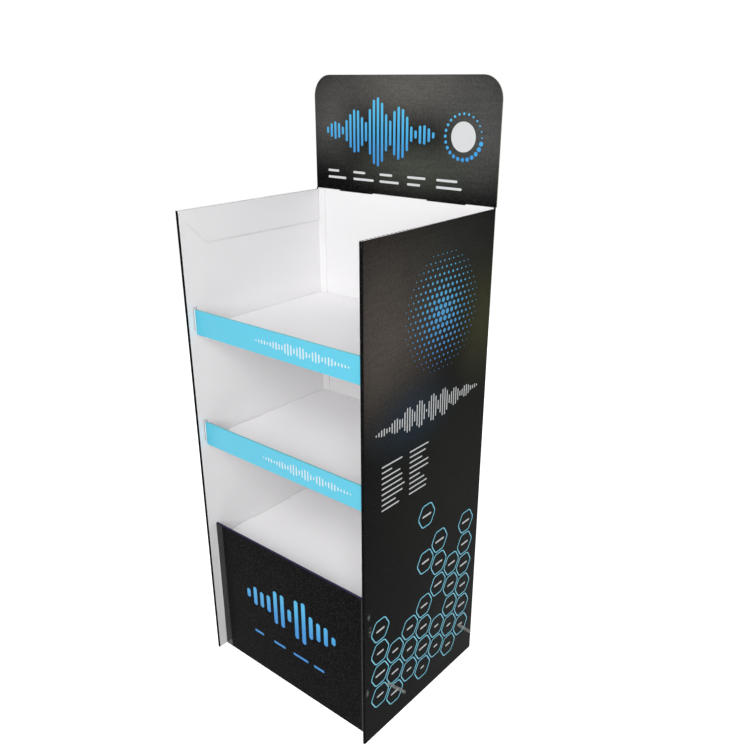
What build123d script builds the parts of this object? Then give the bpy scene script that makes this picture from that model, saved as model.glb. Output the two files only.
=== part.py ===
from build123d import *
import math
import os

# Free-standing display stand, folded from thin corrugated board.
# Millimetres, +Z up, front towards -Y. Origin: centre of the footprint, on the floor.

# Board and folds
board = 2.0              # thickness of the corrugated board
fold_radius = 0.8        # inside radius of a fold
tuck_clearance = 0.3     # gap between a fold and the layer it covers
slide_clearance = 0.5    # gap between a tray and the walls round it

# Body
stand_width = 540.0      # over the outer sides
side_depth = 454.0       # front spine to the outside of the back
side_height = 1200.0
back_rise = 3.5          # back's top fold above the sides'
wall_thickness = 7.0     # outer side, hollow and inner side together
glue_flap = 22.0         # inner side's flap, glued to the back
top_flap_drop = 79.0     # how far a side's top flap hangs down inside
top_flap_nose = 8.0      # upright front edge of the top flap, above its mitre
slit_length = 6.0        # perforation along the top flap's fold
slit_pitch = 12.0
slit_width = 0.6

# Header card and its pocket
header_height = 268.5    # above the back's top fold
header_corner = 50.0     # radius of the two top corners
header_tab_width = 108.0
header_tab_centre = 136.0
header_tab_drop = 60.0
header_tab_corner = 15.0
pocket_clearance = 0.4   # across the header card's thickness
pocket_flap_drop = 79.0
pocket_flap_inset = 6.0  # from the outer side to the flap's end

# Trays
upper_shelf_top = 928.0
middle_shelf_top = 641.0
base_shelf_top = 350.0
lip_rise = 43.0          # lip above its deck
lip_height = 60.0
lip_setback = 23.0       # behind the front spines
lip_thickness = 7.0      # outer lip, hollow and inner lip together
base_front_setback = 27.0
flange_depth = 35.0      # side and rear flanges below the deck
flange_end_angle = 60.0  # slope of a flange's free ends, from level
corner_relief = 5.0      # square notch where two flanges meet

# Tabs and slots
tab_reach = 2.0          # how far a tab passes beyond the layer it is pushed through
tab_clearance = 0.4      # round a tab in its slot
deck_tab_width = 60.0
deck_tab_spread = 210.0  # between the two tabs on a deck's side
rear_tab_spread = 260.0  # between the two tabs on a deck's rear edge
lip_tab_lift = 12.0      # lip's lower edge to the lip tab's
lip_slot_headroom = 6.0  # open slot above a lip
lip_slot_forward = 5.0   # open slot in front of a lip
lip_slot_backward = 2.0
base_tab_low = 100.0     # base front's side tabs
base_tab_high = 350.0

# Worked-out places
outer_x = stand_width / 2
inner_x = outer_x - wall_thickness
flap_face_x = inner_x - board - tuck_clearance
back_top = side_height + back_rise
pocket_gap = board + pocket_clearance
overall_depth = side_depth + pocket_gap + board
front_y = -overall_depth / 2
back_outer_y = front_y + side_depth
back_inner_y = back_outer_y - board
flap_front_y = front_y + board + tuck_clearance
glue_flap_y = back_inner_y - tuck_clearance - board
flap_rear_y = glue_flap_y - board
header_y = back_outer_y + pocket_clearance / 2
cavity_depth = wall_thickness - 2 * board
tray_x = inner_x - slide_clearance
deck_rear_y = back_inner_y - slide_clearance
tab_end_x = inner_x + board + tab_reach
outer_fold = fold_radius + board
cutter_margin = 1.0


def turn_at(before, corner, after):
    """Signed angle, in radians, that a path turns through at a corner; left is positive."""
    first = math.atan2(corner[1] - before[1], corner[0] - before[0])
    second = math.atan2(after[1] - corner[1], after[0] - corner[0])
    return (second - first + math.pi) % (2 * math.pi) - math.pi


def right_of(start, end, distance):
    """Vector of the given length that points to the right of the line from start to end."""
    length = math.dist(start, end)
    return (distance * (end[1] - start[1]) / length, -distance * (end[0] - start[0]) / length)


def far_side(path, thickness):
    """The path's other face, one thickness to its right, with mitred corners."""
    result = []
    for index, point in enumerate(path):
        before = path[max(index - 1, 0)]
        after = path[min(index + 1, len(path) - 1)]
        if index == 0 or index == len(path) - 1:
            shift = right_of(before, after, thickness)
        else:
            first = right_of(before, point, thickness)
            second = right_of(point, after, thickness)
            half_turn = turn_at(before, point, after) / 2
            scale = 1 / (2 * math.cos(half_turn) ** 2)
            shift = ((first[0] + second[0]) * scale, (first[1] + second[1]) * scale)
        result.append((point[0] + shift[0], point[1] + shift[1]))
    return result


def folded_section(path):
    """Section of a folded sheet. The path follows its printed face, with the board on the right."""
    printed_radii = []
    plain_radii = []
    for before, corner, after in zip(path, path[1:], path[2:]):
        turns_left = turn_at(before, corner, after) > 0
        printed_radii.append(fold_radius if turns_left else outer_fold)
        plain_radii.append(outer_fold if turns_left else fold_radius)
    printed = FilletPolyline(*path, radius=printed_radii)
    plain = FilletPolyline(*far_side(path, board), radius=plain_radii)
    ends = [Line(printed @ 0, plain @ 0), Line(printed @ 1, plain @ 1)]
    return make_face(printed.edges() + plain.edges() + ends)


def block(low, high):
    """Box between two corners."""
    size = [b - a for a, b in zip(low, high)]
    centre = [(a + b) / 2 for a, b in zip(low, high)]
    return Pos(*centre) * Box(*size)


def mirrored_pair(solid):
    """The solid and its mirror image across the stand's middle."""
    return solid + mirror(solid, about=Plane.YZ)


def along_x(section, half_length):
    """Extrude a section drawn in Y and Z both ways along X."""
    return extrude(Plane.YZ * section, amount=half_length, both=True)


def along_y(section, start, end):
    """Extrude a section drawn in X and Z from one depth to another."""
    return extrude(Plane((0, end, 0), x_dir=(1, 0, 0), z_dir=(0, -1, 0)) * section, amount=end - start)


def wrap_plan():
    """Plan of the body's sheet, from one glue flap round to the other."""
    left_half = [
        (-inner_x + glue_flap, glue_flap_y),
        (-inner_x, glue_flap_y),
        (-inner_x, front_y),
        (-outer_x, front_y),
        (-outer_x, back_outer_y),
    ]
    right_half = [(-x, y) for x, y in reversed(left_half)]
    return folded_section([*left_half, *right_half])


def top_flap():
    """One side's top spine and the flap that hangs inside, with its mitred front end."""
    section = folded_section([
        (flap_face_x, side_height - top_flap_drop),
        (flap_face_x, side_height),
        (outer_x, side_height),
        (outer_x, side_height - 2 * outer_fold),
    ])
    flap = along_y(section, flap_front_y, flap_rear_y)
    mitre_run = top_flap_drop - top_flap_nose
    mitre = Plane.YZ * make_face(Polyline(
        (flap_front_y, side_height - top_flap_nose),
        (flap_front_y + mitre_run, side_height - top_flap_drop),
        (flap_front_y, side_height - top_flap_drop),
        close=True,
    ))
    inside_only = Pos(flap_face_x - cutter_margin, 0, 0)
    return flap - inside_only * extrude(mitre, amount=board + cutter_margin + tuck_clearance)


def top_flap_seat():
    """What the top spine and flap displace at the top of one side's two layers."""
    spine = block(
        (inner_x + board + tuck_clearance, flap_front_y - tuck_clearance, side_height - 2 * outer_fold),
        (outer_x + cutter_margin, flap_rear_y, side_height + cutter_margin),
    )
    inner_side = block(
        (inner_x - tuck_clearance, flap_front_y - tuck_clearance, side_height - board - tuck_clearance),
        (inner_x + board + tuck_clearance, flap_rear_y, side_height + cutter_margin),
    )
    return spine + inner_side


def fold_slits():
    """Row of slits through the bend between one side's top spine and its flap."""
    run = flap_rear_y - flap_front_y
    bend = Pos(flap_face_x + outer_fold, (flap_front_y + flap_rear_y) / 2, side_height - outer_fold)
    reach = outer_fold + cutter_margin
    slit = Rot(0, 45, 0) * Pos(-reach / 2, 0, 0) * Box(reach, slit_length, slit_width)
    return [bend * place * slit for place in GridLocations(0, slit_pitch, 1, int(run / slit_pitch))]


def pocket_flap():
    """The fold over the top of the back that holds the header card's tabs."""
    section = folded_section([
        (back_outer_y, back_top - 2 * outer_fold),
        (back_outer_y, back_top - board),
        (back_outer_y + pocket_gap, back_top - board),
        (back_outer_y + pocket_gap, back_top - pocket_flap_drop),
    ][::-1])
    return along_x(section, outer_x - pocket_flap_inset)


def pocket_seat():
    """What the pocket's fold displaces at the top of the back."""
    half = outer_x - pocket_flap_inset
    return block(
        (-half, back_inner_y - cutter_margin, back_top - 2 * outer_fold),
        (half, back_outer_y + cutter_margin, back_top + cutter_margin),
    )


def header_slots():
    """Two slots through the back's top fold, open at its front corner."""
    half = header_tab_width / 2 + tab_clearance
    slot = block(
        (header_tab_centre - half, back_inner_y - cutter_margin, back_top - outer_fold),
        (header_tab_centre + half, back_outer_y + pocket_gap, back_top + cutter_margin),
    )
    return mirrored_pair(slot)


def lip_slots(deck_top):
    """Slots in both inner sides for the ends of one lip."""
    lip_top = deck_top + lip_rise
    lip_front = front_y + lip_setback
    slot = block(
        (inner_x - cutter_margin, lip_front - lip_slot_forward,
         lip_top - lip_height + lip_tab_lift - tab_clearance),
        (inner_x + board + cavity_depth / 2, lip_front + lip_thickness + lip_slot_backward,
         lip_top + lip_slot_headroom),
    )
    return mirrored_pair(slot)


def base_slots():
    """Slots in both inner sides for the base front's side tabs."""
    panel_front = front_y + base_front_setback
    slot = block(
        (inner_x - cutter_margin, panel_front - tab_clearance, base_tab_low - tab_clearance),
        (inner_x + board + cavity_depth / 2, panel_front + board + tab_clearance,
         base_tab_high + tab_clearance),
    )
    return mirrored_pair(slot)


def deck_tab_places():
    """Middles, along Y, of the two tabs on a deck's side."""
    middle = (front_y + back_outer_y) / 2
    return [middle - deck_tab_spread / 2, middle + deck_tab_spread / 2]


def deck_slots(deck_top):
    """Slots in the inner sides and the back for one deck's tabs, which rest on their lower edges."""
    half = deck_tab_width / 2 + tab_clearance
    low = deck_top - board
    high = deck_top + 2 * tab_clearance
    slots = Part()
    for y in deck_tab_places():
        slots += mirrored_pair(block(
            (inner_x - cutter_margin, y - half, low),
            (inner_x + board + cavity_depth / 2, y + half, high),
        ))
    rear_x = rear_tab_spread / 2
    slots += mirrored_pair(block(
        (rear_x - half, back_inner_y - cutter_margin, low),
        (rear_x + half, back_outer_y + cutter_margin, high),
    ))
    return slots


def make_body_wrap():
    """The body: one sheet folded round both sides and the back."""
    body = extrude(wrap_plan(), amount=back_top)
    body -= block(
        (-outer_x - cutter_margin, front_y - cutter_margin, side_height),
        (outer_x + cutter_margin, back_inner_y, back_top + cutter_margin),
    )
    body -= mirrored_pair(top_flap_seat())
    body += mirrored_pair(top_flap() - fold_slits())
    body -= pocket_seat()
    body += pocket_flap()
    body -= header_slots()
    for deck_top in (upper_shelf_top, middle_shelf_top):
        body -= lip_slots(deck_top)
        body -= deck_slots(deck_top)
    body -= base_slots()
    body -= deck_slots(base_shelf_top)
    return body


def make_header_card():
    """Flat card with rounded top corners and two tabs."""
    card = Pos(0, back_top + header_height / 2) * Rectangle(stand_width, header_height)
    card = fillet(card.vertices().group_by(Axis.Y)[-1], header_corner)
    tab_height = header_tab_drop + header_corner
    tab = Rectangle(header_tab_width, tab_height)
    tab = fillet(tab.vertices().group_by(Axis.Y)[0], header_tab_corner)
    for side in (-1, 1):
        card += Pos(side * header_tab_centre, back_top - header_tab_drop + tab_height / 2) * tab
    return along_y(card, header_y, header_y + board)


def side_flange(deck_top, start, end):
    """One folded side flange, on the right, with sloping ends."""
    section = folded_section([
        (tray_x - 2 * outer_fold, deck_top),
        (tray_x, deck_top),
        (tray_x, deck_top - flange_depth),
    ])
    flange = along_y(section, start, end)
    run = (flange_depth - outer_fold) / math.tan(math.radians(flange_end_angle))
    foot = deck_top - flange_depth
    shoulder = deck_top - outer_fold
    for edge, inward in ((start, 1), (end, -1)):
        corner = Plane.YZ * make_face(Polyline(
            (edge, shoulder), (edge, foot), (edge + inward * run, foot), close=True))
        flange -= Pos(tray_x - board, 0, 0) * extrude(corner, amount=2 * board, both=True)
    return flange


def deck_tabs(deck_top):
    """Tabs on the right side and the right half of the rear edge of a deck."""
    tabs = Part()
    low = deck_top - board
    for y in deck_tab_places():
        tabs += block(
            (tray_x - 2 * outer_fold, y - deck_tab_width / 2, low),
            (tab_end_x, y + deck_tab_width / 2, deck_top),
        )
    rear_x = rear_tab_spread / 2
    tabs += block(
        (rear_x - deck_tab_width / 2, deck_rear_y - 2 * outer_fold, low),
        (rear_x + deck_tab_width / 2, back_outer_y, deck_top),
    )
    return tabs


def tab_windows(deck_top):
    """What is cut out of the folds round the tabs, on the right and the right half of the rear."""
    half = deck_tab_width / 2 + tab_clearance
    low = deck_top - board - tab_end_x + tray_x
    windows = Part()
    for y in deck_tab_places():
        windows += block(
            (tray_x - outer_fold, y - half, low),
            (tray_x + cutter_margin, y + half, deck_top + cutter_margin),
        )
    rear_x = rear_tab_spread / 2
    windows += block(
        (rear_x - half, deck_rear_y - outer_fold, low),
        (rear_x + half, deck_rear_y + cutter_margin, deck_top + cutter_margin),
    )
    return windows


def rear_corner_reliefs(deck_top):
    """Notches that let the flanges fold and clear the body's glue flaps."""
    flap_end = inner_x - glue_flap - slide_clearance
    strip = block(
        (flap_end, glue_flap_y - slide_clearance, deck_top - flange_depth - cutter_margin),
        (inner_x, back_inner_y, deck_top + cutter_margin),
    )
    notch = block(
        (tray_x - corner_relief, glue_flap_y - corner_relief, deck_top - flange_depth - cutter_margin),
        (inner_x, back_inner_y, deck_top + cutter_margin),
    )
    return mirrored_pair(strip + notch)


def make_tray(deck_top, front_face, front_bottom, tab_low, tab_high, lip_tab_depth):
    """A tray in one sheet: front, double top edge, deck and flanges."""
    top = deck_top + lip_rise
    section = folded_section([
        (front_face, front_bottom),
        (front_face, top),
        (front_face + lip_thickness, top),
        (front_face + lip_thickness, deck_top),
        (deck_rear_y, deck_top),
        (deck_rear_y, deck_top - flange_depth),
    ])
    tray = along_x(section, tray_x)

    deck_start = front_face + lip_thickness
    tray -= mirrored_pair(block(
        (tray_x - outer_fold, deck_start + fold_radius, deck_top - flange_depth - cutter_margin),
        (inner_x, back_inner_y, deck_top + cutter_margin),
    ))
    tray += mirrored_pair(side_flange(deck_top, deck_start + outer_fold, deck_rear_y - outer_fold))
    tray -= rear_corner_reliefs(deck_top)
    tray -= mirrored_pair(tab_windows(deck_top))
    tray += mirrored_pair(deck_tabs(deck_top))

    tab_zone = block(
        (tray_x - board, front_face, tab_low),
        (tab_end_x, front_face + lip_tab_depth, tab_high),
    )
    tray += mirrored_pair(along_x(section, tab_end_x) & tab_zone)
    return tray


def make_shelf(deck_top):
    """A shelf with a short coloured lip, whose whole double edge passes into the sides."""
    front_face = front_y + lip_setback
    bottom = deck_top + lip_rise - lip_height
    top = deck_top + lip_rise
    return make_tray(deck_top, front_face, bottom, bottom + lip_tab_lift, top, lip_thickness)


def make_base_tray():
    """The lowest deck, with its front panel reaching the floor."""
    front_face = front_y + base_front_setback
    return make_tray(base_shelf_top, front_face, 0, base_tab_low, base_tab_high, board)


pieces = {
    "body_wrap": make_body_wrap(),
    "header_card": make_header_card(),
    "upper_shelf": make_shelf(upper_shelf_top),
    "middle_shelf": make_shelf(middle_shelf_top),
    "base_tray": make_base_tray(),
}

os.makedirs("parts", exist_ok=True)
for name, piece in pieces.items():
    export_step(piece, f"parts/{name}.step")
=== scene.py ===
"""Dresses the folded cardboard display stand: laminate, board, print, wear, floor, light and camera."""
import math

import bpy
from bpy.props import FloatProperty, FloatVectorProperty, PointerProperty
from mathutils import Matrix, Vector


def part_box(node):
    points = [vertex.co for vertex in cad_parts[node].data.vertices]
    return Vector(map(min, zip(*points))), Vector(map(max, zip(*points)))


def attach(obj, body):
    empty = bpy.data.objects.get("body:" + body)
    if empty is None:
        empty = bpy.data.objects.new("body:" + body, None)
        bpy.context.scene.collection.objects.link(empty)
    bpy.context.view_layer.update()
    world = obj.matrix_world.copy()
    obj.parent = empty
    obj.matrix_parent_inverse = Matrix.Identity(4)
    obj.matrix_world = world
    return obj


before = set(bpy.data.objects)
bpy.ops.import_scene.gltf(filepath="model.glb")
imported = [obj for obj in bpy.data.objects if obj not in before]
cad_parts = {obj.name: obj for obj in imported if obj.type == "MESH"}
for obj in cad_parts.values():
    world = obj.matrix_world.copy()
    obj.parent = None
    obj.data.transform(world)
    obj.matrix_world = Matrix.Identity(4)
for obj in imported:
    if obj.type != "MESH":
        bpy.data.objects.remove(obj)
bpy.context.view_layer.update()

bl_info = {
    "name": "Cardboard display stand",
    "version": (1, 0, 0),
    "blender": (4, 5, 0),
    "location": "3D View > Sidebar > Stand",
    "description": "Finishes and prints a folded cardboard display stand and sets its stage",
    "category": "Object",
}

MM = 0.001

# Sizes of the folded pieces
BOARD = 2.0 * MM
SIDE_WALL = 7.0 * MM
BACK_RISE = 3.5 * MM
POCKET_GAP = 0.2 * MM
TUCK_GAP = 0.3 * MM
FLAP_DROP = 79.0 * MM
FLAP_NOSE_DROP = 8.0 * MM
LIP_HEIGHT = 60.0 * MM
SLIT_PITCH = 12.0 * MM
SLIT_MIDDLE = -4.2 * MM

# Places on the folded pieces
BODY_LOW, BODY_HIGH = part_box("body_wrap")
HEADER_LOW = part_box("header_card")[0]
BASE_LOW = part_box("base_tray")[0]
SHELVES = ("upper_shelf", "middle_shelf")
SIDE_X = BODY_HIGH.x
FRONT_Y = BODY_LOW.y
BACK_TOP = BODY_HIGH.z
SIDE_TOP = BACK_TOP - BACK_RISE
BACK_Y = HEADER_LOW.y - POCKET_GAP
SIDE_DEPTH = BACK_Y - FRONT_Y
INNER_X = SIDE_X - SIDE_WALL
FLAP_X = INNER_X - BOARD - TUCK_GAP
FLAP_FRONT = FRONT_Y + BOARD + TUCK_GAP
FLAP_LOW = SIDE_TOP - FLAP_DROP
FLAP_NOSE = SIDE_TOP - FLAP_NOSE_DROP

# How far the print reaches round the folds, and how deep below a face still counts as that face
PRINT_WRAP = 1.4 * MM
SPINE_WRAP = 2.8 * MM
FACE_SKIN = 0.9 * MM

# Radius, in metres, of a haze along the axis that it passes right through
THROUGH = 10.0

# Thin printed film and tape: above the board, sunk into it, and the points round a dot
FILM_PROUD = 0.04 * MM
FILM_SUNK = 0.04 * MM
TAPE_PROUD = 0.07 * MM
CORNER_POINTS = 20


def screen(red, green, blue):
    """A colour given as eight-bit screen values, in the linear values that sockets take."""
    channels = [c / 255 for c in (red, green, blue)]
    linear = [c / 12.92 if c <= 0.04045 else ((c + 0.055) / 1.055) ** 2.4 for c in channels]
    return (*linear, 1.0)


class Value:
    """A node's output that can stand in Python sums; each operator adds a Math node."""

    def __init__(self, graph, socket):
        self.graph = graph
        self.socket = socket

    def math(self, operation, *others):
        return self.graph.maths(operation, self, *others)

    def __add__(self, other):
        return self.graph.maths("ADD", self, other)

    def __radd__(self, other):
        return self.graph.maths("ADD", other, self)

    def __sub__(self, other):
        return self.graph.maths("SUBTRACT", self, other)

    def __rsub__(self, other):
        return self.graph.maths("SUBTRACT", other, self)

    def __mul__(self, other):
        return self.graph.maths("MULTIPLY", self, other)

    def __truediv__(self, other):
        return self.graph.maths("DIVIDE", self, other)

    def __rtruediv__(self, other):
        return self.graph.maths("DIVIDE", other, self)

    def __gt__(self, other):
        return self.graph.maths("GREATER_THAN", self, other)

    def __lt__(self, other):
        return self.graph.maths("LESS_THAN", self, other)

    def __abs__(self):
        return self.graph.maths("ABSOLUTE", self)

    def most(self, other):
        return self.graph.maths("MAXIMUM", self, other)

    def least(self, other):
        return self.graph.maths("MINIMUM", self, other)


class Graph:
    """Builds one node tree, for a material, the world or a mesh."""

    def __init__(self, tree):
        self.tree = tree

    def add(self, kind, settings=None, inputs=None, out=0):
        """Adds a node, makes its settings, fills or links its sockets and gives one output."""
        node = self.tree.nodes.new(kind)
        for name, value in (settings or {}).items():
            setattr(node, name, value)
        for name, value in (inputs or {}).items():
            if isinstance(value, Value):
                self.tree.links.new(value.socket, node.inputs[name])
            else:
                node.inputs[name].default_value = value
        return Value(self, node.outputs[out]) if node.outputs else None

    def beside(self, value, out):
        """Another output of the node that a value comes from."""
        return Value(self, value.socket.node.outputs[out])

    def maths(self, operation, *terms):
        return self.add("ShaderNodeMath", {"operation": operation}, dict(enumerate(terms)))

    def vectors(self, operation, *terms, out=0):
        return self.add("ShaderNodeVectorMath", {"operation": operation}, dict(enumerate(terms)), out)

    def vector(self, x=0.0, y=0.0, z=0.0):
        return self.add("ShaderNodeCombineXYZ", None, {"X": x, "Y": y, "Z": z})

    def axes(self, vector):
        x = self.add("ShaderNodeSeparateXYZ", None, {"Vector": vector})
        return x, self.beside(x, "Y"), self.beside(x, "Z")

    def mix(self, factor, first, second):
        """Colour between first and second."""
        inputs = {0: factor, 6: first, 7: second}
        return self.add("ShaderNodeMix", {"data_type": "RGBA"}, inputs, 2)


class Finish(Graph):
    """A material that reads the object's own coordinates."""

    def __init__(self, name):
        self.material = bpy.data.materials.new(name)
        self.material.use_nodes = True
        super().__init__(self.material.node_tree)
        self.tree.nodes.clear()
        self.place = self.add("ShaderNodeTexCoord", out="Object")
        self.x, self.y, self.z = self.axes(self.place)

    def done(self, **sockets):
        """Ends in a Principled shader; underscores in socket names stand for spaces."""
        inputs = {name.replace("_", " "): value for name, value in sockets.items()}
        shader = self.add("ShaderNodeBsdfPrincipled", None, inputs)
        self.add("ShaderNodeOutputMaterial", None, {"Surface": shader})
        return self.material

    def noise(self, scale, detail=2.0, stretch=(1.0, 1.0, 1.0)):
        """Noise from 0 to 1; its scale, per metre, is multiplied along each axis by the stretch."""
        spread = self.vectors("MULTIPLY", self.place, stretch)
        inputs = {"Vector": spread, "Scale": scale, "Detail": detail, "Roughness": 0.55}
        return self.add("ShaderNodeTexNoise", None, inputs)

    def spot(self, centre, radii):
        """Soft spot that is 1 at its centre and 0 at the rim of an ellipsoid."""
        offset = self.vectors("DIVIDE", self.vectors("SUBTRACT", self.place, centre), radii)
        return self.smooth(1.0 - self.vectors("LENGTH", offset, out="Value"))

    def smooth(self, value, start=0.0, end=1.0):
        """Smooth step from 0 to 1 as the value goes up or down from start to end."""
        inputs = {"Value": value, "From Min": start, "From Max": end}
        return self.add("ShaderNodeMapRange", {"interpolation_type": "SMOOTHSTEP"}, inputs)

    def near(self, value, place, reach):
        """Falls from 1 at a place to 0 at its reach on both sides."""
        return (1.0 - abs(value - place) / reach).most(0.0)

    def bump(self, height, distance):
        """Normal over a height, one unit of which stands a distance in metres proud."""
        return self.add("ShaderNodeBump", None, {"Height": height, "Distance": distance})


def board_relief(finish):
    """Height of liner over corrugated board: faint upright flutes, ripple and slow warping."""
    settings = bpy.context.scene.stand_board
    flutes = ((finish.x + finish.y) * (2 * math.pi / settings.flute_pitch)).math("SINE") * 0.5 + 0.5
    ripple = finish.noise(90.0, 3.0)
    warp = finish.noise(3.5, 2.0, (1.0, 1.0, 0.7))
    return flutes * settings.flute_show + ripple * 0.10 + warp * settings.warp


def cut_edge(finish, across, along):
    """Colour of a cut edge: pale liners, and a brown wave of medium over painted shade in the hollows."""
    settings = bpy.context.scene.stand_board
    wave = (along * (2 * math.pi / settings.flute_pitch)).math("SINE") * 0.30
    medium = finish.smooth(abs(across - wave), 0.20, 0.08)
    liner = finish.smooth(abs(across), 0.36, 0.42)
    grain = finish.noise(900.0)
    paper = finish.mix(grain, screen(190, 172, 146), screen(214, 200, 176))
    # Painted shade in the flute hollows between the waves of medium
    medium_over_shade = finish.mix(medium, screen(128, 114, 96), paper)
    return finish.mix(liner, medium_over_shade, screen(228, 225, 220))


def white_board(finish, shade, white):
    """Coated white board with slow drift, upright fibre and a few pale grey rubs."""
    drift = finish.noise(2.4)
    fibre = finish.noise(420.0, 2.0, (1.0, 1.0, 0.35))
    rubs = finish.smooth(finish.noise(7.0, 4.0, (1.0, 1.0, 0.4)), 0.66, 0.80)
    colour = finish.mix(drift, shade, white)
    return finish.mix(rubs * 0.07 + fibre * 0.03, colour, screen(120, 118, 120))


def speckled_black(finish):
    """The print's black with its fine lighter specks."""
    settings = bpy.context.scene.stand_print
    specks = finish.smooth(finish.noise(300.0, 2.0), 0.44, 0.70)
    return finish.mix(specks, settings.ground, settings.ground_grain)


def printed_glow_and_sheen(finish, spots, shown=1.0):
    """Black ground under a soft printed haze, partly painted sheen; each spot is a centre, radii, strength
    and colour.
    """
    settings = bpy.context.scene.stand_print
    grain = finish.smooth(finish.noise(290.0, 2.0), 0.36, 0.64)
    streaks = finish.noise(60.0, 3.0, (0.25, 0.25, 3.0))
    haze = finish.noise(7.0, 3.0)
    colour = speckled_black(finish)
    for centre, radii, strength, tint in spots:
        light = finish.spot(centre, radii) * (0.45 + haze * 0.5 + streaks * 0.4) * strength * shown
        colour = finish.mix(light.least(1.0), colour, tint)
    return finish.mix(grain * settings.grain_show, colour, screen(6, 6, 7))


def flap_shadow(finish, x, y, z):
    """Thin broken line of shade on the wall behind the free edges of each side's top flap."""
    below = FLAP_LOW - z
    ahead = (FLAP_NOSE + FLAP_FRONT - z - y) / math.sqrt(2)
    on_wall = finish.near(x, INNER_X, 0.6 * MM) > 0.0
    lifted = finish.smooth(z, SIDE_TOP - 24 * MM, SIDE_TOP - 46 * MM)
    broken = finish.smooth(finish.noise(16.0, 2.0), 0.35, 0.60) * 0.7 + 0.3
    return on_wall * finish.near(below.most(ahead), 1.1 * MM, 1.5 * MM) * lifted * broken


def flap_cut(finish, x, y, z):
    """1 on the free cut edges of each side's top flap."""
    inside_board = (x > FLAP_X + 0.06 * MM) * (x < FLAP_X + BOARD - 0.06 * MM)
    return inside_board * (z < SIDE_TOP - 4 * MM) * (z > FLAP_LOW - 0.1 * MM) * (y < BACK_Y - 8 * MM)


def fold_slit_marks(finish, y, z):
    """Dark dashes where the slits in the right side's top fold gape, widest near the front."""
    bend = (z > SIDE_TOP - 1.7 * MM) * (abs(finish.x - FLAP_X - 3.8 * MM) < 1.6 * MM)
    dash = ((y - SLIT_MIDDLE) / SLIT_PITCH).math("PINGPONG", 0.5) < 0.30
    gape = 1.0 - finish.smooth(y, -110 * MM, -20 * MM) * 0.85
    return bend * dash * gape


def body_finish():
    """Black laminate outside and round the front folds, white board inside."""
    settings = bpy.context.scene.stand_board
    finish = Finish("body_board")
    x, y, z = abs(finish.x), finish.y, finish.z

    # The print runs further over the top folds towards the rear
    wrap = 1.6 * MM + finish.smooth(y, -120 * MM, 200 * MM) * (3.6 * MM)
    sides = (x > SIDE_X - PRINT_WRAP).most((x > SIDE_X - wrap) * (z > SIDE_TOP - 0.8 * MM))
    spines = (y < FRONT_Y + SPINE_WRAP) * (x > INNER_X - 0.1 * MM)
    behind = y > BACK_Y - FACE_SKIN
    pocket_flap = (y > BACK_Y + POCKET_GAP / 2) * (x < SIDE_X - BOARD)
    printed = sides.most(spines).most(behind * (1.0 - pocket_flap))
    foot = z < 0.3 * MM
    spine_top = (z > SIDE_TOP - 0.05 * MM) * (y < FRONT_Y + BOARD)

    wide = 280 * MM
    on_side = sides * finish.smooth(y, FRONT_Y + 1.5 * MM, FRONT_Y + 7 * MM)
    # Printed haze on the sides, partly painted sheen of the black laminate
    ground = printed_glow_and_sheen(finish, (
        ((0.0, -150 * MM, 1010 * MM), (THROUGH, wide, 300 * MM), 0.95, screen(92, 85, 79)),
        ((0.0, 60 * MM, 1130 * MM), (THROUGH, wide, 170 * MM), 0.45, screen(70, 72, 66)),
        ((0.0, 190 * MM, 960 * MM), (THROUGH, 170 * MM, 210 * MM), 0.60, screen(78, 78, 52)),
        ((0.0, -60 * MM, 800 * MM), (THROUGH, 190 * MM, 120 * MM), 0.65, screen(30, 56, 76)),
        ((0.0, 60 * MM, 640 * MM), (THROUGH, 420 * MM, 460 * MM), 0.45, screen(40, 42, 34)),
        ((0.0, 150 * MM, 180 * MM), (THROUGH, 260 * MM, 330 * MM), 0.35, screen(36, 43, 37)),
    ), on_side)

    # Pale scuffs beside the front folds
    for offset, height, size in ((17, 365, 7), (21, 322, 9), (11, 151, 8)):
        centre = (SIDE_X, FRONT_Y + offset * MM, height * MM)
        mark = finish.spot(centre, (9 * MM, size * MM, 2 * size * MM))
        broken = finish.smooth(finish.noise(130.0, 3.0), 0.35, 0.70)
        ground = finish.mix(mark * broken * 0.55, ground, screen(150, 158, 150))

    # Ink worn off along the folds
    worn = finish.smooth(finish.noise(150.0, 3.0, (1.0, 1.0, 0.25)), 0.60, 0.78)
    at_fold = finish.near(y, FRONT_Y, 1.6 * MM) * finish.near(x, SIDE_X, 1.6 * MM)
    at_top = finish.near(z, SIDE_TOP, 1.6 * MM) * 0.6
    ground = finish.mix(worn * at_fold.most(at_top) * 0.5, ground, screen(140, 138, 138))

    # Body white, set darker than the trays' as painted shade
    white = white_board(finish, settings.body_shade, settings.body_white)
    white = finish.mix(flap_shadow(finish, x, y, z) * 0.42, white, screen(132, 130, 134))
    white = finish.mix(fold_slit_marks(finish, y, z), white, screen(34, 32, 38))
    flap_board = cut_edge(finish, (x - FLAP_X) / BOARD - 0.5, y - z)
    white = finish.mix(flap_cut(finish, x, y, z) * 0.4, white, flap_board)

    colour = finish.mix(printed, white, ground)
    cut = foot.most(spine_top)
    colour = finish.mix(cut, colour, cut_edge(finish, (y - FRONT_Y) / BOARD - 0.5, finish.x))
    gloss = printed * (1.0 - cut)
    return finish.done(
        Base_Color=colour,
        Roughness=0.50 - gloss * 0.26 + finish.noise(9.0, 3.0) * 0.10,
        Normal=finish.bump(board_relief(finish), 0.06 * MM),
        Specular_IOR_Level=bpy.context.scene.stand_print.black_gloss,
    )


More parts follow.
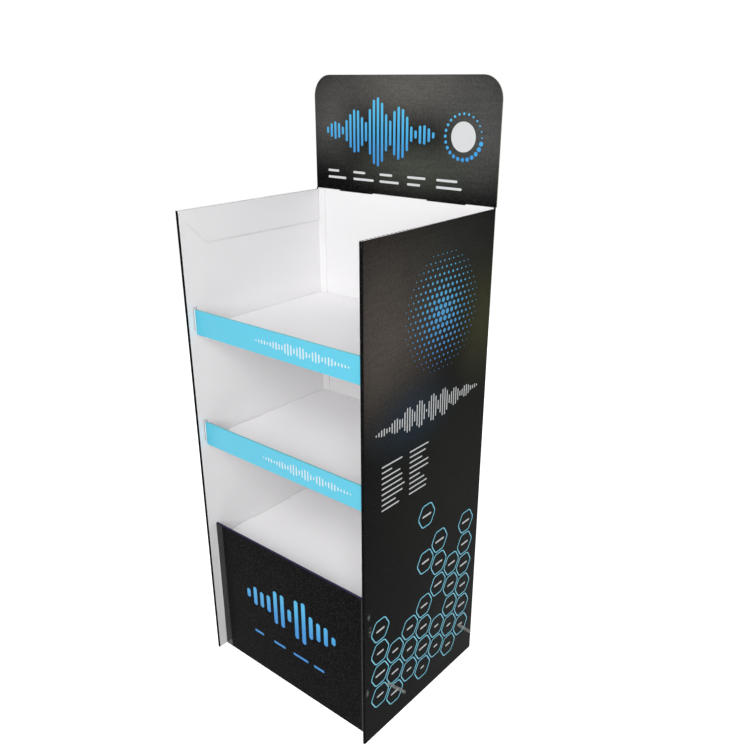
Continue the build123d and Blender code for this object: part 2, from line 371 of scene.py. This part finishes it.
def header_finish():
    """Black laminated front with a soft printed glow, partly painted sheen, a plain white rear and pale
    cut edges.
    """
    settings = bpy.context.scene.stand_board
    finish = Finish("header_board")
    across = (finish.y - HEADER_LOW.y) / BOARD - 0.5
    cut = abs(across) < 0.49
    rear = across > 0.49
    top = BACK_TOP
    # Printed glow, partly painted sheen of the black laminate
    ground = printed_glow_and_sheen(finish, (
        ((20 * MM, 0.0, top + 250 * MM), (330 * MM, THROUGH, 130 * MM), 0.80, screen(108, 106, 102)),
        ((-230 * MM, 0.0, top + 170 * MM), (150 * MM, THROUGH, 150 * MM), 0.60, screen(104, 103, 100)),
        ((230 * MM, 0.0, top + 150 * MM), (170 * MM, THROUGH, 170 * MM), 0.60, screen(100, 101, 99)),
        ((40 * MM, 0.0, top + 70 * MM), (300 * MM, THROUGH, 90 * MM), 0.55, screen(94, 97, 88)),
    ))
    # Rear in the body's white, set darker than the trays' as painted shade
    white = white_board(finish, settings.body_shade, settings.body_white)
    board = finish.mix(rear, cut_edge(finish, across, finish.x + finish.z), white)
    plain = cut.most(rear)
    return finish.done(
        Base_Color=finish.mix(plain, ground, board),
        Roughness=0.24 + plain * 0.34 + finish.noise(11.0, 3.0) * 0.10,
        Normal=finish.bump(board_relief(finish), 0.06 * MM),
        Specular_IOR_Level=bpy.context.scene.stand_print.black_gloss,
    )


def lip_ink(finish):
    """Cyan of the shelf lips, a little uneven and finely grained."""
    settings = bpy.context.scene.stand_print
    colour = finish.mix(finish.noise(6.0, 3.0) * 0.12, settings.lip_cyan, settings.lip_shade)
    return finish.mix(finish.noise(420.0) * 0.5, colour, settings.lip_shade)


def wall_mirror(finish, front, strength):
    """Coat that mirrors the side walls in the front beside them, where it is seen along a slant."""
    beside_wall = finish.smooth(abs(finish.x), INNER_X - 27 * MM, INNER_X - 20 * MM)
    slant = finish.smooth(finish.add("ShaderNodeLayerWeight", out="Facing"), 0.22, 0.42)
    return {"Coat_Weight": front * beside_wall * slant * strength, "Coat_Roughness": 0.08}


def tray_finish(node, paint, fold_ink, gloss, mirror=0.0):
    """A tray: laminated front and top fold in one ink between the sides, the rest white board."""
    settings = bpy.context.scene.stand_board
    finish = Finish(node + "_board")
    low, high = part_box(node)
    between = abs(finish.x) < INNER_X - 0.45 * MM
    front = between * (finish.y < low.y + FACE_SKIN)
    top_fold = between * (finish.z > high.z - 1.2 * MM) * (finish.y < low.y + 7 * MM)
    colour = finish.mix(top_fold, paint(finish), fold_ink)

    # Ink rubbed off along the upper fold
    worn = finish.smooth(finish.noise(140.0, 3.0, (0.3, 1.0, 1.0)), 0.62, 0.80)
    rubbed = worn * finish.near(finish.z, high.z, 1.8 * MM) * 0.5
    colour = finish.mix(rubbed, colour, screen(205, 205, 210))

    printed = front.most(top_fold)
    white = white_board(finish, settings.tray_shade, settings.tray_white)
    coat = wall_mirror(finish, front, mirror) if mirror else {}
    return finish.done(
        Base_Color=finish.mix(printed, white, colour),
        Roughness=0.50 - printed * 0.24 + finish.noise(10.0, 3.0) * 0.10,
        Normal=finish.bump(board_relief(finish), 0.05 * MM),
        Specular_IOR_Level=gloss,
        **coat,
    )


def ink_finish(name, ink, lower_ink=None, heights=(0.0, 1.0)):
    """Laminated ink, which passes up from a lower ink between two heights where one is given."""
    finish = Finish(name)
    colour = ink
    if lower_ink is not None:
        rise = finish.smooth(finish.z + (finish.noise(12.0) - 0.5) * 0.03, *heights)
        colour = finish.mix(rise, lower_ink, ink)
    return finish.done(
        Base_Color=finish.mix(finish.noise(600.0, 1.0) * 0.08, colour, screen(20, 20, 24)),
        Roughness=0.24 + finish.noise(10.0, 3.0) * 0.10,
        Normal=finish.bump(board_relief(finish), 0.06 * MM),
        Specular_IOR_Level=0.3,
    )


def tape_finish():
    """Clear tape gone grey, with small patches of trapped air."""
    finish = Finish("clear_tape")
    air = finish.noise(160.0, 3.0)
    return finish.done(
        Base_Color=finish.mix(air, screen(118, 124, 120), screen(176, 182, 178)),
        Roughness=0.22 + air * 0.2,
        Alpha=0.22 + air * 0.45,
    )


class Motif(Graph):
    """A Geometry Nodes tree that lays copies of one printed shape on a flat panel."""

    sockets = {int: "NodeSocketInt", float: "NodeSocketFloat"}

    def __init__(self, name, sizes):
        super().__init__(bpy.data.node_groups.new(name, "GeometryNodeTree"))
        interface = self.tree.interface
        interface.new_socket("Geometry", in_out="OUTPUT", socket_type="NodeSocketGeometry")
        self.identifiers = {}
        for label, kind in {**sizes, "Corner points": int, "Proud": float, "Sunk": float}.items():
            socket = interface.new_socket(label, in_out="INPUT", socket_type=self.sockets[kind])
            self.identifiers[label] = socket.identifier
        ink = interface.new_socket("Ink", in_out="INPUT", socket_type="NodeSocketMaterial")
        self.identifiers["Ink"] = ink.identifier
        self.group_input = self.add("NodeGroupInput")

    def size(self, label):
        return self.beside(self.group_input, label)

    def index(self):
        return self.add("GeometryNodeInputIndex")

    def place(self):
        return self.axes(self.add("GeometryNodeInputPosition"))

    def chance(self, low, high, seed):
        inputs = {2: low, 3: high, "Seed": seed}
        return self.add("FunctionNodeRandomValue", {"data_type": "FLOAT"}, inputs, 1)

    def row(self, count, pitch):
        """Points in a level row about the middle."""
        start = self.vector(x=(count - 1) * pitch * -0.5)
        inputs = {"Count": count, "Start Location": start, "Offset": self.vector(x=pitch)}
        return self.add("GeometryNodeMeshLine", {"mode": "OFFSET"}, inputs)

    def grid(self, columns, rows, across, up):
        """Points in columns and rows about the middle."""
        inputs = {
            "Size X": (columns - 1) * across, "Size Y": (rows - 1) * up,
            "Vertices X": columns, "Vertices Y": rows,
        }
        return self.add("GeometryNodeMeshGrid", None, inputs)

    def shift(self, points, offset):
        return self.add("GeometryNodeSetPosition", None, {"Geometry": points, "Offset": offset})

    def store(self, geometry, name, value):
        settings = {"data_type": "FLOAT_VECTOR", "domain": "POINT"}
        inputs = {"Geometry": geometry, "Name": name, "Value": value}
        return self.add("GeometryNodeStoreNamedAttribute", settings, inputs)

    def stored(self, name):
        return self.add("GeometryNodeInputNamedAttribute", {"data_type": "FLOAT_VECTOR"}, {"Name": name})

    def boxes(self, points, corner, stretch=(0.0, 0.0, 0.0), scale=1.0, kept=True):
        """A round dot on each kept point, drawn out by the stretch to a bar or a rounded box."""
        rim = self.size("Corner points")
        dot = self.add("GeometryNodeMeshCylinder", None, {
            "Vertices": rim, "Radius": corner, "Depth": self.size("Proud") + self.size("Sunk")})
        dot = self.add("GeometryNodeTransform", None, {
            "Geometry": dot, "Rotation": self.vector(z=math.pi / rim),
            "Translation": self.vector(z=(self.size("Proud") - self.size("Sunk")) * 0.5)})
        quarter = self.vectors("SIGN", self.add("GeometryNodeInputPosition"))
        dot = self.store(dot, "quarter", quarter)
        placed = self.add("GeometryNodeInstanceOnPoints", None, {
            "Points": self.store(points, "stretch", stretch), "Instance": dot,
            "Selection": kept, "Scale": self.vector(scale, scale, 1.0)})
        drawn = self.shift(
            self.add("GeometryNodeRealizeInstances", None, {"Geometry": placed}),
            self.vectors("MULTIPLY", self.stored("quarter"), self.stored("stretch")))
        for name in ("quarter", "stretch"):
            drawn = self.add("GeometryNodeRemoveAttribute", None, {"Geometry": drawn, "Name": name})
        return drawn

    def outlines(self, points, path, stroke, kept):
        """A closed stroke along a path on each kept point."""
        path = self.add("GeometryNodeSetCurveNormal", {"mode": "Z_UP"}, {"Curve": path})
        section = self.add("GeometryNodeCurvePrimitiveQuadrilateral", {"mode": "RECTANGLE"}, {
            "Width": stroke, "Height": self.size("Proud") + self.size("Sunk")})
        band = self.add("GeometryNodeCurveToMesh", None, {"Curve": path, "Profile Curve": section})
        band = self.add("GeometryNodeTransform", None, {
            "Geometry": band,
            "Translation": self.vector(z=(self.size("Proud") - self.size("Sunk")) * 0.5)})
        placed = self.add("GeometryNodeInstanceOnPoints", None, {
            "Points": points, "Instance": band, "Selection": kept})
        return self.add("GeometryNodeRealizeInstances", None, {"Geometry": placed})

    def done(self, mesh):
        """Inks the realized shapes."""
        inked = self.add("GeometryNodeSetMaterial", None, {"Geometry": mesh, "Material": self.size("Ink")})
        self.add("NodeGroupOutput", None, {0: inked})
        return self


def dot_screen():
    """Staggered dots that shrink away from the middle."""
    sizes = {"Columns": int, "Rows": int, "Spacing": float, "Largest": float, "Reach": float}
    motif = Motif("dot_screen", sizes)
    spacing = motif.size("Spacing")
    rise = spacing * (math.sqrt(3) / 2)
    points = motif.grid(motif.size("Columns"), motif.size("Rows"), spacing, rise)
    _, y, _ = motif.place()
    stagger = (y / rise).math("ROUND").math("FLOORED_MODULO", 2.0) * spacing * 0.5
    points = motif.shift(points, motif.vector(x=stagger))
    away = motif.vectors("LENGTH", motif.add("GeometryNodeInputPosition"), out="Value")
    share = 1.0 - away / motif.size("Reach")
    return motif.done(motif.boxes(points, motif.size("Largest"), scale=share, kept=share > 0.12))


def level_bars():
    """Upright bars in a row, whose heights swing like a sound level."""
    sizes = {"Count": int, "Pitch": float, "Width": float, "Tallest": float,
             "Swing": float, "Phase": float}
    motif = Motif("level_bars", sizes)
    points = motif.row(motif.size("Count"), motif.size("Pitch"))
    turn = motif.index() * motif.size("Swing") + motif.size("Phase")
    envelope = (motif.index() + 0.5) / motif.size("Count")
    level = abs(turn.math("SINE")) * 0.75 + abs((turn * 0.37).math("COSINE")) * 0.25
    bell = (envelope * math.pi).math("SINE")
    half_height = level * bell * motif.size("Tallest") * 0.5
    return motif.done(motif.boxes(points, motif.size("Width") * 0.5, motif.vector(y=half_height)))


def ruled_rows():
    """Rows of level bars of uneven length, flush at the left of each column."""
    sizes = {"Columns": int, "Rows": int, "Column pitch": float, "Row pitch": float,
             "Stroke": float, "Shortest": float, "Longest": float, "Seed": int}
    motif = Motif("ruled_rows", sizes)
    points = motif.grid(
        motif.size("Columns"), motif.size("Rows"), motif.size("Column pitch"), motif.size("Row pitch"))
    half_length = motif.chance(motif.size("Shortest"), motif.size("Longest"), motif.size("Seed")) * 0.5
    points = motif.store(points, "reach", motif.vector(x=half_length))
    reach = motif.stored("reach")
    bars = motif.boxes(motif.shift(points, reach), motif.size("Stroke") * 0.5, reach)
    return motif.done(motif.add("GeometryNodeRemoveAttribute", None, {"Geometry": bars, "Name": "reach"}))


def cell_points(motif):
    """Staggered points of a honeycomb, thinned out at random towards its top."""
    across = motif.size("Radius") * 1.5 + motif.size("Gap")
    up = motif.size("Radius") * math.sqrt(3) + motif.size("Gap")
    points = motif.grid(motif.size("Columns"), motif.size("Rows"), across, up)
    x, y, _ = motif.place()
    stagger = (x / across).math("ROUND").math("FLOORED_MODULO", 2.0) * up * 0.5
    points = motif.shift(points, motif.vector(y=stagger))
    height = y / (motif.size("Rows") * up) + 0.5
    kept = motif.chance(0.0, 1.0, motif.size("Seed")) > height * 1.15 - 0.12
    return points, kept


CELL_SIZES = {"Columns": int, "Rows": int, "Radius": float, "Gap": float, "Seed": int}


def cell_outlines():
    """Honeycomb of outlined cells with round corners."""
    motif = Motif("cell_outlines", {**CELL_SIZES, "Corner": float, "Stroke": float})
    points, kept = cell_points(motif)
    path = motif.add("GeometryNodeCurvePrimitiveCircle", None, {
        "Resolution": 6, "Radius": motif.size("Radius")})
    path = motif.add("GeometryNodeFilletCurve", {"mode": "POLY"}, {
        "Curve": path, "Count": 5, "Radius": motif.size("Corner"), "Limit Radius": True})
    return motif.done(motif.outlines(points, path, motif.size("Stroke"), kept))


def cell_marks():
    """A short bar in each cell of the honeycomb."""
    motif = Motif("cell_marks", {**CELL_SIZES, "Stroke": float, "Shortest": float, "Longest": float})
    points, kept = cell_points(motif)
    half_length = motif.chance(motif.size("Shortest"), motif.size("Longest"), motif.size("Seed")) * 0.5
    return motif.done(motif.boxes(
        points, motif.size("Stroke") * 0.5, motif.vector(x=half_length), kept=kept))


def dot_ring():
    """Dots round a circle that grow on their way round."""
    motif = Motif("dot_ring", {"Count": int, "Radius": float, "Smallest": float, "Largest": float})
    points = motif.add("GeometryNodeMeshCircle", None, {
        "Vertices": motif.size("Count"), "Radius": motif.size("Radius")})
    share = (motif.index() + 1.0) / motif.size("Count")
    least = motif.size("Smallest") / motif.size("Largest")
    return motif.done(motif.boxes(points, motif.size("Largest"), scale=share * (1.0 - least) + least))


def face(origin, right, up=(0.0, 0.0, 1.0)):
    """Matrix that lays a flat design on a face of the stand."""
    right, up = Vector(right), Vector(up)
    turn = Matrix((right, up, right.cross(up))).transposed().to_4x4()
    return Matrix.Translation(origin) @ turn


def at(panel, across, height):
    """The panel's matrix moved across and up that panel."""
    return panel @ Matrix.Translation((across, height, 0.0))


def lay(name, motif, panel, slot_name, **sizes):
    """Makes a motif's plain mesh on its panel, riding on the stand; underscores stand for spaces."""
    piece = bpy.data.objects.new(name, bpy.data.meshes.new(name))
    modifier = piece.modifiers.new(motif.tree.name, "NODES")
    modifier.node_group = motif.tree
    usual = {"Corner_points": CORNER_POINTS, "Proud": FILM_PROUD, "Sunk": FILM_SUNK}
    for label, value in {**usual, **sizes}.items():
        modifier[motif.identifiers[label.replace("_", " ")]] = value
    bpy.context.collection.objects.link(piece)
    depsgraph = bpy.context.evaluated_depsgraph_get()
    mesh = bpy.data.meshes.new_from_object(piece.evaluated_get(depsgraph), depsgraph=depsgraph)
    piece.modifiers.remove(modifier)
    mesh.transform(panel)
    piece.data = mesh
    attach(piece, "root")


def use_material(node, material):
    """Gives a frame node its finish without touching its mesh's shape."""
    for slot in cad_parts[node].material_slots:
        slot.material = material


def colour_setting(label, description, *screen_values):
    """Property for a colour whose default is given in screen values."""
    return FloatVectorProperty(
        name=label, description=description, default=screen(*screen_values),
        min=0.0, max=1.0, size=4, subtype="COLOR")


def share_setting(label, description, default):
    """Property for a share from 0 to 1."""
    return FloatProperty(
        name=label, description=description, default=default, min=0.0, max=1.0, subtype="FACTOR")


def angle_setting(label, description, default):
    """Property for an angle in radians."""
    return FloatProperty(
        name=label, description=description, default=default, subtype="ANGLE", unit="ROTATION")


def power_setting(label, description, default):
    """Property for a lamp's power in watts."""
    return FloatProperty(
        name=label, description=description, default=default, min=0.0, unit="POWER")


class StandBoardSettings(bpy.types.PropertyGroup):
    flute_pitch: FloatProperty(
        name="Flute pitch", description="Distance between the board's flutes",
        default=3.3 * MM, min=1.0 * MM, max=10.0 * MM, subtype="DISTANCE", unit="LENGTH")
    flute_show: share_setting("Flute show-through", "How strongly the flutes show in the surface", 0.12)
    warp: FloatProperty(
        name="Warp", description="How strongly the board's slow warping shows",
        default=2.2, min=0.0, max=10.0)
    # The body's white board is set darker than the trays', as painted shade against the stronger light on
    # its walls and back
    body_shade: colour_setting("Body shade", "Darker tone of the body's white board", 226, 225, 226)
    body_white: colour_setting("Body white", "Lighter tone of the body's white board", 233, 232, 233)
    tray_shade: colour_setting("Tray shade", "Darker tone of the trays' white board", 248, 247, 248)
    tray_white: colour_setting("Tray white", "Lighter tone of the trays' white board", 252, 251, 252)


class StandPrintSettings(bpy.types.PropertyGroup):
    ground: colour_setting("Ground", "Black of the laminated print", 4, 4, 5)
    ground_grain: colour_setting("Ground grain", "Lighter grain in the black", 30, 30, 31)
    grain_show: share_setting("Grain", "How strongly fine dark grain breaks up the printed haze", 0.26)
    black_gloss: share_setting("Black gloss", "Specular level of the black laminate", 0.015)
    base_mirror: share_setting("Base mirror", "How strongly the base front mirrors the side walls", 0.8)
    cyan: colour_setting("Cyan", "Light end of the cyan ink", 66, 172, 216)
    deep_cyan: colour_setting("Deep cyan", "Deep end of the cyan ink", 32, 128, 200)
    line_cyan: colour_setting("Line cyan", "Ink of the outlined cells", 112, 208, 234)
    white: colour_setting("White ink", "White of the printed bars", 200, 202, 203)
    lip_cyan: colour_setting("Lip cyan", "Ink of the shelf lips", 84, 184, 209)
    lip_shade: colour_setting("Lip shade", "Darker grain in the ink of the shelf lips", 68, 166, 192)
    lip_white: colour_setting("Lip white", "White of the lips' bars a metre up", 206, 213, 215)
    # The lower lip's bars are darker: painted shade, not another ink
    lip_shaded_white: colour_setting("Lip lower white", "White of the lips' bars lower down", 196, 207, 211)


class StandStageSettings(bpy.types.PropertyGroup):
    camera_place: FloatVectorProperty(
        name="Camera place", description="Where the camera stands",
        default=(1.1737, -1.2811, 1.4776), subtype="TRANSLATION", unit="LENGTH", size=3)
    camera_yaw: angle_setting("Camera yaw", "Turn of the view from straight at the front", 0.7077)
    camera_pitch: angle_setting("Camera pitch", "Downward tilt of the view", 0.4057)
    camera_roll: angle_setting("Camera roll", "Turn of the picture about the view", -0.0061)
    camera_lens: FloatProperty(
        name="Lens", description="Focal length on a 36 mm wide sensor",
        default=37.288, min=1.0, unit="CAMERA")
    shift_x: FloatProperty(name="Shift X", description="Sideways shift of the picture", default=0.0147)
    shift_y: FloatProperty(name="Shift Y", description="Upward shift of the picture", default=0.0409)
    floor_size: FloatProperty(
        name="Floor size", description="Side of the square floor", default=60.0, unit="LENGTH")
    floor_lift: share_setting("Floor lift", "Brightness that the floor adds where it is seen", 0.74)
    soft_light: FloatProperty(
        name="Soft light", description="Strength of the light from all round", default=0.34, min=0.0)
    box_size: FloatProperty(
        name="Soft box size", description="Side of each soft box", default=2.4, min=0.1, unit="LENGTH")
    right_power: power_setting("Right light", "Power of the soft box at the front right", 101.0)
    left_power: power_setting("Left light", "Power of the soft box at the front left", 15.0)
    rear_power: power_setting("Rear light", "Power of the soft box behind", 34.0)


class STAND_OT_body(bpy.types.Operator):
    """Finish the folded body: black laminate outside, white board inside"""
    bl_idname = "stand.body"
    bl_label = "Finish body"

    def execute(self, context):
        use_material("body_wrap", body_finish())
        return {"FINISHED"}


class STAND_OT_header(bpy.types.Operator):
    """Finish the header card"""
    bl_idname = "stand.header"
    bl_label = "Finish header card"

    def execute(self, context):
        use_material("header_card", header_finish())
        return {"FINISHED"}


class STAND_OT_trays(bpy.types.Operator):
    """Finish the two shelves and the base tray"""
    bl_idname = "stand.trays"
    bl_label = "Finish trays"

    def execute(self, context):
        settings = context.scene.stand_print
        for node in SHELVES:
            use_material(node, tray_finish(node, lip_ink, screen(92, 184, 198), 0.4))
        base = tray_finish(
            "base_tray", speckled_black, screen(52, 46, 74), settings.black_gloss, settings.base_mirror)
        use_material("base_tray", base)
        return {"FINISHED"}


class STAND_OT_side_print(bpy.types.Operator):
    """Lay the print on both outer sides"""
    bl_idname = "stand.side_print"
    bl_label = "Print sides"

    def execute(self, context):
        settings = context.scene.stand_print
        cyan = ink_finish("side_cyan", settings.cyan, settings.deep_cyan, (880 * MM, 1130 * MM))
        line = ink_finish("side_line_cyan", settings.line_cyan)
        white = ink_finish("side_white", settings.white)
        dots, bars, rules = dot_screen(), level_bars(), ruled_rows()
        cells, marks = cell_outlines(), cell_marks()
        middle = 0.5 * SIDE_DEPTH
        honeycomb = {"Columns": 7, "Rows": 8, "Radius": 33 * MM, "Gap": 7 * MM, "Seed": 5}
        for side, panel in (
            ("right", face((SIDE_X, FRONT_Y, 0.0), (0.0, 1.0, 0.0))),
            ("left", face((-SIDE_X, BACK_Y, 0.0), (0.0, -1.0, 0.0))),
        ):
            high_rear = at(panel, 0.58 * SIDE_DEPTH, 1010 * MM)
            lay(f"side_dots_{side}", dots, high_rear, "body_board", Ink=cyan,
                Columns=21, Rows=21, Spacing=16 * MM, Largest=6.6 * MM, Reach=155 * MM)
            lay(f"side_levels_{side}", bars, at(panel, middle, 800 * MM), "body_board", Ink=white,
                Count=44, Pitch=8.6 * MM, Width=3.6 * MM, Tallest=70 * MM, Swing=0.61, Phase=0.4)
            lay(f"side_rules_{side}", rules, at(panel, 110 * MM, 668 * MM), "body_board", Ink=white,
                Columns=2, Rows=9, Column_pitch=96 * MM, Row_pitch=13 * MM, Stroke=3.6 * MM,
                Shortest=24 * MM, Longest=78 * MM, Seed=11)
            lay(f"side_cells_{side}", cells, at(panel, middle, 305 * MM), "body_board", Ink=line,
                Corner=12 * MM, Stroke=3.0 * MM, **honeycomb)
            lay(f"side_marks_{side}", marks, at(panel, middle, 305 * MM), "body_board", Ink=white,
                Stroke=5.0 * MM, Shortest=8 * MM, Longest=30 * MM, **honeycomb)
        return {"FINISHED"}


class STAND_OT_header_print(bpy.types.Operator):
    """Lay the print on the header card"""
    bl_idname = "stand.header_print"
    bl_label = "Print header card"

    def execute(self, context):
        settings = context.scene.stand_print
        heights = (BACK_TOP + 60 * MM, BACK_TOP + 200 * MM)
        cyan = ink_finish("header_cyan", settings.cyan, settings.deep_cyan, heights)
        white = ink_finish("header_white", settings.white)
        panel = face((0.0, HEADER_LOW.y, BACK_TOP), (1.0, 0.0, 0.0))
        ring_place = at(panel, 176 * MM, 142 * MM)
        bars, ring, rules = level_bars(), dot_ring(), ruled_rows()
        lay("header_levels", bars, at(panel, -66 * MM, 142 * MM), "header_board", Ink=cyan,
            Count=27, Pitch=12.4 * MM, Width=7.0 * MM, Tallest=150 * MM, Swing=0.53, Phase=1.1)
        lay("header_ring", ring, ring_place, "header_board", Ink=cyan,
            Count=24, Radius=48 * MM, Smallest=1.6 * MM, Largest=5.2 * MM)
        # A single bar without height is a disc
        lay("header_disc", bars, ring_place, "header_board", Ink=white,
            Count=1, Pitch=0.0, Width=64 * MM, Tallest=0.0, Swing=0.0, Phase=0.0, Corner_points=72)
        lay("header_rules", rules, at(panel, -58 * MM, 38 * MM), "header_board", Ink=white,
            Columns=5, Rows=2, Column_pitch=84 * MM, Row_pitch=16 * MM, Stroke=5.6 * MM,
            Shortest=26 * MM, Longest=66 * MM, Seed=4)
        return {"FINISHED"}


class STAND_OT_base_print(bpy.types.Operator):
    """Lay the print on the base front"""
    bl_idname = "stand.base_print"
    bl_label = "Print base front"

    def execute(self, context):
        settings = context.scene.stand_print
        cyan = ink_finish("base_cyan", settings.cyan, settings.deep_cyan, (170 * MM, 290 * MM))
        panel = face((0.0, BASE_LOW.y, 0.0), (1.0, 0.0, 0.0))
        lay("base_levels", level_bars(), at(panel, 0.0, 225 * MM), "base_board", Ink=cyan,
            Count=13, Pitch=25 * MM, Width=13 * MM, Tallest=130 * MM, Swing=0.9, Phase=0.9)
        lay("base_rules", ruled_rows(), at(panel, -24 * MM, 112 * MM), "base_board", Ink=cyan,
            Columns=4, Rows=1, Column_pitch=72 * MM, Row_pitch=10 * MM, Stroke=7 * MM,
            Shortest=18 * MM, Longest=56 * MM, Seed=2)
        return {"FINISHED"}


class STAND_OT_lip_print(bpy.types.Operator):
    """Lay the print on the shelf lips"""
    bl_idname = "stand.lip_print"
    bl_label = "Print shelf lips"

    def execute(self, context):
        settings = context.scene.stand_print
        # The bars' white darkens lower down as painted shade
        white = ink_finish("lip_white", settings.lip_white, settings.lip_shaded_white)
        bars = level_bars()
        for node in SHELVES:
            low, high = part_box(node)
            panel = face((80 * MM, low.y, high.z - LIP_HEIGHT / 2), (1.0, 0.0, 0.0))
            lay(node + "_print", bars, panel, "shelf_board", Ink=white,
                Count=31, Pitch=9 * MM, Width=3.4 * MM, Tallest=26 * MM, Swing=0.7, Phase=0.2)
        return {"FINISHED"}


class STAND_OT_tape(bpy.types.Operator):
    """Stick two strips of clear tape on the right side, as the handled stand has"""
    bl_idname = "stand.tape"
    bl_label = "Stick tape"

    def execute(self, context):
        clear = tape_finish()
        strip = ruled_rows()
        panel = face((SIDE_X, FRONT_Y, 0.0), (0.0, 1.0, 0.0))
        for name, start, end in (
            ("tape_rear", (386, 116), (450, 52)),
            ("tape_front", (87, 126), (156, 49)),
        ):
            run = Vector(end) - Vector(start)
            turn = Matrix.Rotation(math.atan2(run.y, run.x), 4, "Z")
            along = at(panel, start[0] * MM, start[1] * MM) @ turn
            lay(name, strip, along, "body_board", Ink=clear, Proud=TAPE_PROUD,
                Columns=1, Rows=1, Stroke=8 * MM,
                Shortest=run.length * MM, Longest=run.length * MM)
        return {"FINISHED"}


class STAND_OT_stage(bpy.types.Operator):
    """Set the floor, the light and the camera"""
    bl_idname = "stand.stage"
    bl_label = "Set stage"

    def execute(self, context):
        settings = context.scene.stand_stage
        make_floor(settings)
        make_world(settings)
        make_lights(settings)
        make_camera(settings)
        context.scene.view_settings.view_transform = "Standard"
        return {"FINISHED"}


def background_rays(graph):
    """1 for rays that should find the plain background: seen, mirrored or through glass."""
    seen = graph.add("ShaderNodeLightPath", out="Is Camera Ray")
    return seen.most(graph.beside(seen, "Is Glossy Ray")).most(graph.beside(seen, "Is Transmission Ray"))


def make_floor(settings):
    """Pale floor that keeps the stand's soft shadow and is white elsewhere."""
    half = settings.floor_size / 2
    level = -0.1 * MM
    corners = [(-half, -half, level), (half, -half, level), (half, half, level), (-half, half, level)]
    mesh = bpy.data.meshes.new("floor")
    mesh.from_pydata(corners, [], [(0, 1, 2, 3)])
    material = bpy.data.materials.new("floor")
    material.use_nodes = True
    graph = Graph(material.node_tree)
    graph.tree.nodes.clear()
    paper = graph.add("ShaderNodeBsdfDiffuse", None, {"Color": screen(232, 232, 232)})
    strength = background_rays(graph) * settings.floor_lift
    lift = graph.add("ShaderNodeEmission", None, {"Strength": strength})
    both = graph.add("ShaderNodeAddShader", None, {0: paper, 1: lift})
    graph.add("ShaderNodeOutputMaterial", None, {"Surface": both})
    mesh.materials.append(material)
    floor = bpy.data.objects.new("floor", mesh)
    bpy.context.collection.objects.link(floor)


def make_world(settings):
    """Plain soft surroundings, white as a background."""
    world = bpy.data.worlds.new("studio")
    bpy.context.scene.world = world
    world.use_nodes = True
    graph = Graph(world.node_tree)
    graph.tree.nodes.clear()
    white = (1.0, 1.0, 1.0, 1.0)
    soft = graph.add("ShaderNodeBackground", None, {"Color": white, "Strength": settings.soft_light})
    plain = graph.add("ShaderNodeBackground", None, {"Color": white, "Strength": 1.0})
    choice = graph.add("ShaderNodeMixShader", None, {0: background_rays(graph), 1: soft, 2: plain})
    graph.add("ShaderNodeOutputWorld", None, {"Surface": choice})


def make_lights(settings):
    """Three broad soft boxes: either side of the front, and behind."""
    target = Vector((0.0, 0.0, 0.75))
    for name, place, power in (
        ("right_light", (1.55, -2.55, 2.15), settings.right_power),
        ("left_light", (-1.6, -2.5, 1.6), settings.left_power),
        ("rear_light", (-1.2, 2.6, 1.8), settings.rear_power),
    ):
        data = bpy.data.lights.new(name, "AREA")
        data.shape = "SQUARE"
        data.size = settings.box_size
        data.energy = power
        lamp = bpy.data.objects.new(name, data)
        lamp.location = place
        lamp.rotation_euler = (target - Vector(place)).to_track_quat("-Z", "Y").to_euler()
        bpy.context.collection.objects.link(lamp)


def make_camera(settings):
    """The photograph's view of the stand."""
    yaw, pitch, roll = settings.camera_yaw, settings.camera_pitch, settings.camera_roll
    ahead = Vector((-math.sin(yaw) * math.cos(pitch), math.cos(yaw) * math.cos(pitch), -math.sin(pitch)))
    level = Vector((math.cos(yaw), math.sin(yaw), 0.0))
    above = level.cross(ahead)
    right = level * math.cos(roll) + above * math.sin(roll)
    up = above * math.cos(roll) - level * math.sin(roll)
    data = bpy.data.cameras.new("camera")
    data.sensor_width = 36.0
    data.lens = settings.camera_lens
    data.shift_x = settings.shift_x
    data.shift_y = settings.shift_y
    data.clip_start = 0.05
    camera = bpy.data.objects.new("camera", data)
    turn = Matrix((right, up, -ahead)).transposed().to_4x4()
    camera.matrix_world = Matrix.Translation(settings.camera_place) @ turn
    bpy.context.collection.objects.link(camera)
    bpy.context.scene.camera = camera


OPERATORS = (
    STAND_OT_body,
    STAND_OT_header,
    STAND_OT_trays,
    STAND_OT_side_print,
    STAND_OT_header_print,
    STAND_OT_base_print,
    STAND_OT_lip_print,
    STAND_OT_tape,
    STAND_OT_stage,
)


class STAND_PT_panel(bpy.types.Panel):
    bl_label = "Display stand"
    bl_idname = "STAND_PT_panel"
    bl_space_type = "VIEW_3D"
    bl_region_type = "UI"
    bl_category = "Stand"

    def draw(self, context):
        for operator in OPERATORS:
            self.layout.operator(operator.bl_idname)


SETTINGS = {
    "stand_board": StandBoardSettings,
    "stand_print": StandPrintSettings,
    "stand_stage": StandStageSettings,
}


def register():
    for name, group in SETTINGS.items():
        bpy.utils.register_class(group)
        setattr(bpy.types.Scene, name, PointerProperty(type=group))
    for kind in (*OPERATORS, STAND_PT_panel):
        bpy.utils.register_class(kind)


def unregister():
    for kind in reversed((*OPERATORS, STAND_PT_panel)):
        bpy.utils.unregister_class(kind)
    for name, group in SETTINGS.items():
        delattr(bpy.types.Scene, name)
        bpy.utils.unregister_class(group)


def main():
    register()
    for operator in OPERATORS:
        module, name = operator.bl_idname.split(".")
        getattr(getattr(bpy.ops, module), name)()


if __name__ == "__main__":
    main()
